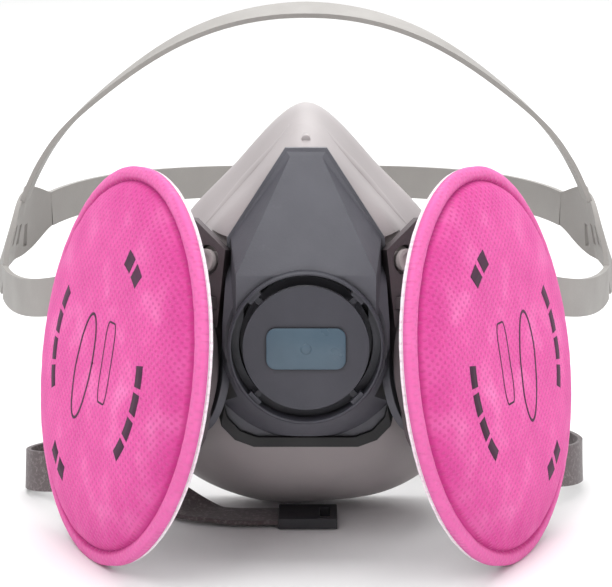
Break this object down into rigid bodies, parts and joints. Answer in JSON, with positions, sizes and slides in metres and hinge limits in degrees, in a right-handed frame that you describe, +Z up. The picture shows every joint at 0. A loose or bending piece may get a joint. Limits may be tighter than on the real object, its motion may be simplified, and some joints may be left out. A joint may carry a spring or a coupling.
{
  "type": "half-face respirator",
  "caption": "Reusable half-face respirator: soft facepiece, centre exhalation valve, two round pink particulate filters on twist ports and a cradle head harness.",
  "frame": {"origin": "on the surface that the mask stands on, under the middle of its box", "axes": "+Z up, the face plate looks along -Y, the head harness reaches back along +Y, +X to the viewer's right"},
  "size_m": [0.2072, 0.2554, 0.1419],
  "materials": {
    "filter_pink": "bonded nonwoven web",
    "filter_white": "bonded nonwoven web",
    "filter_plastic": "moulded",
    "dark_plastic": "fine matte texture",
    "black_rubber": "moulded",
    "wing_plastic": "fine matte texture",
    "valve_silicone": "translucent silicone",
    "peg_plastic": "moulded",
    "harness_plastic": "soft flexible band",
    "face_elastomer": "soft matte elastomer",
    "neck_elastic": "ribbed woven elastic",
    "clasp_plastic": "moulded"
  },
  "bodies": {
    "mask": {"inhalation_port_left": "dark_plastic", "port_gasket_left": "black_rubber", "port_collar_left": "wing_plastic", "strap_anchor_left": "wing_plastic", "yoke_wing_left": "wing_plastic", "neck_strap_left": "neck_elastic", "inhalation_port_right": "dark_plastic", "port_gasket_right": "black_rubber", "port_collar_right": "wing_plastic", "strap_anchor_right": "wing_plastic", "yoke_wing_right": "wing_plastic", "neck_strap_right": "neck_elastic", "center_adapter": "dark_plastic", "adapter_seal": "black_rubber", "exhalation_valve_seat": "dark_plastic", "exhalation_cover": "dark_plastic", "facepiece": "face_elastomer", "neck_tail": "neck_elastic", "neck_hook": "clasp_plastic"},
    "harness": {"strap_button_left": "peg_plastic", "strap_button_right": "peg_plastic", "upper_strap_left": "harness_plastic", "upper_strap_right": "harness_plastic", "side_tab_left": "harness_plastic", "side_tab_right": "harness_plastic", "crown_strap": "harness_plastic", "rear_strap": "harness_plastic"},
    "exhalation_flap": {"exhalation_valve": "valve_silicone"},
    "buckle": {"neck_buckle": "clasp_plastic"},
    "filter_unit_left": {"filter_front_left": "filter_pink", "filter_media_left": "filter_white", "filter_back_left": "filter_white", "filter_rim_left": "filter_white", "filter_connector_left": "filter_plastic"},
    "inhalation_flap_left": {"inhalation_valve_left": "valve_silicone"},
    "filter_unit_right": {"filter_front_right": "filter_pink", "filter_media_right": "filter_white", "filter_back_right": "filter_white", "filter_rim_right": "filter_white", "filter_connector_right": "filter_plastic"},
    "inhalation_flap_right": {"inhalation_valve_right": "valve_silicone"}
  },
  "joints": [
    {"name": "harness_tilt", "type": "hinge", "parent": "mask", "child": "harness", "pos_m": [0, -0.071, 0.081], "axis": [1, 0, 0], "range_deg": [-8, 8]},
    {"name": "filter_left_turn", "type": "hinge", "parent": "mask", "child": "filter_unit_left", "pos_m": [-0.03702, -0.07169, 0.05076], "axis": [-0.8775, -0.4471, 0.1736], "range_deg": [0, 45]},
    {"name": "filter_right_turn", "type": "hinge", "parent": "mask", "child": "filter_unit_right", "pos_m": [0.03702, -0.07169, 0.05076], "axis": [0.8775, -0.4471, 0.1736], "range_deg": [0, 45]},
    {"name": "exhalation_valve_lift", "type": "slide", "parent": "mask", "child": "exhalation_flap", "axis": [0, -1, 0], "range_m": [0, 0.0015], "stiffness_N_per_m": 20},
    {"name": "inhalation_valve_left_lift", "type": "slide", "parent": "mask", "child": "inhalation_flap_left", "axis": [0.8775, 0.4471, -0.1736], "range_m": [0, 0.0015], "stiffness_N_per_m": 20},
    {"name": "inhalation_valve_right_lift", "type": "slide", "parent": "mask", "child": "inhalation_flap_right", "axis": [-0.8775, 0.4471, -0.1736], "range_m": [0, 0.0015], "stiffness_N_per_m": 20},
    {"name": "neck_buckle_slide", "type": "slide", "parent": "mask", "child": "buckle", "axis": [1, 0, 0], "range_m": [-0.011, 0.011]}
  ]
}
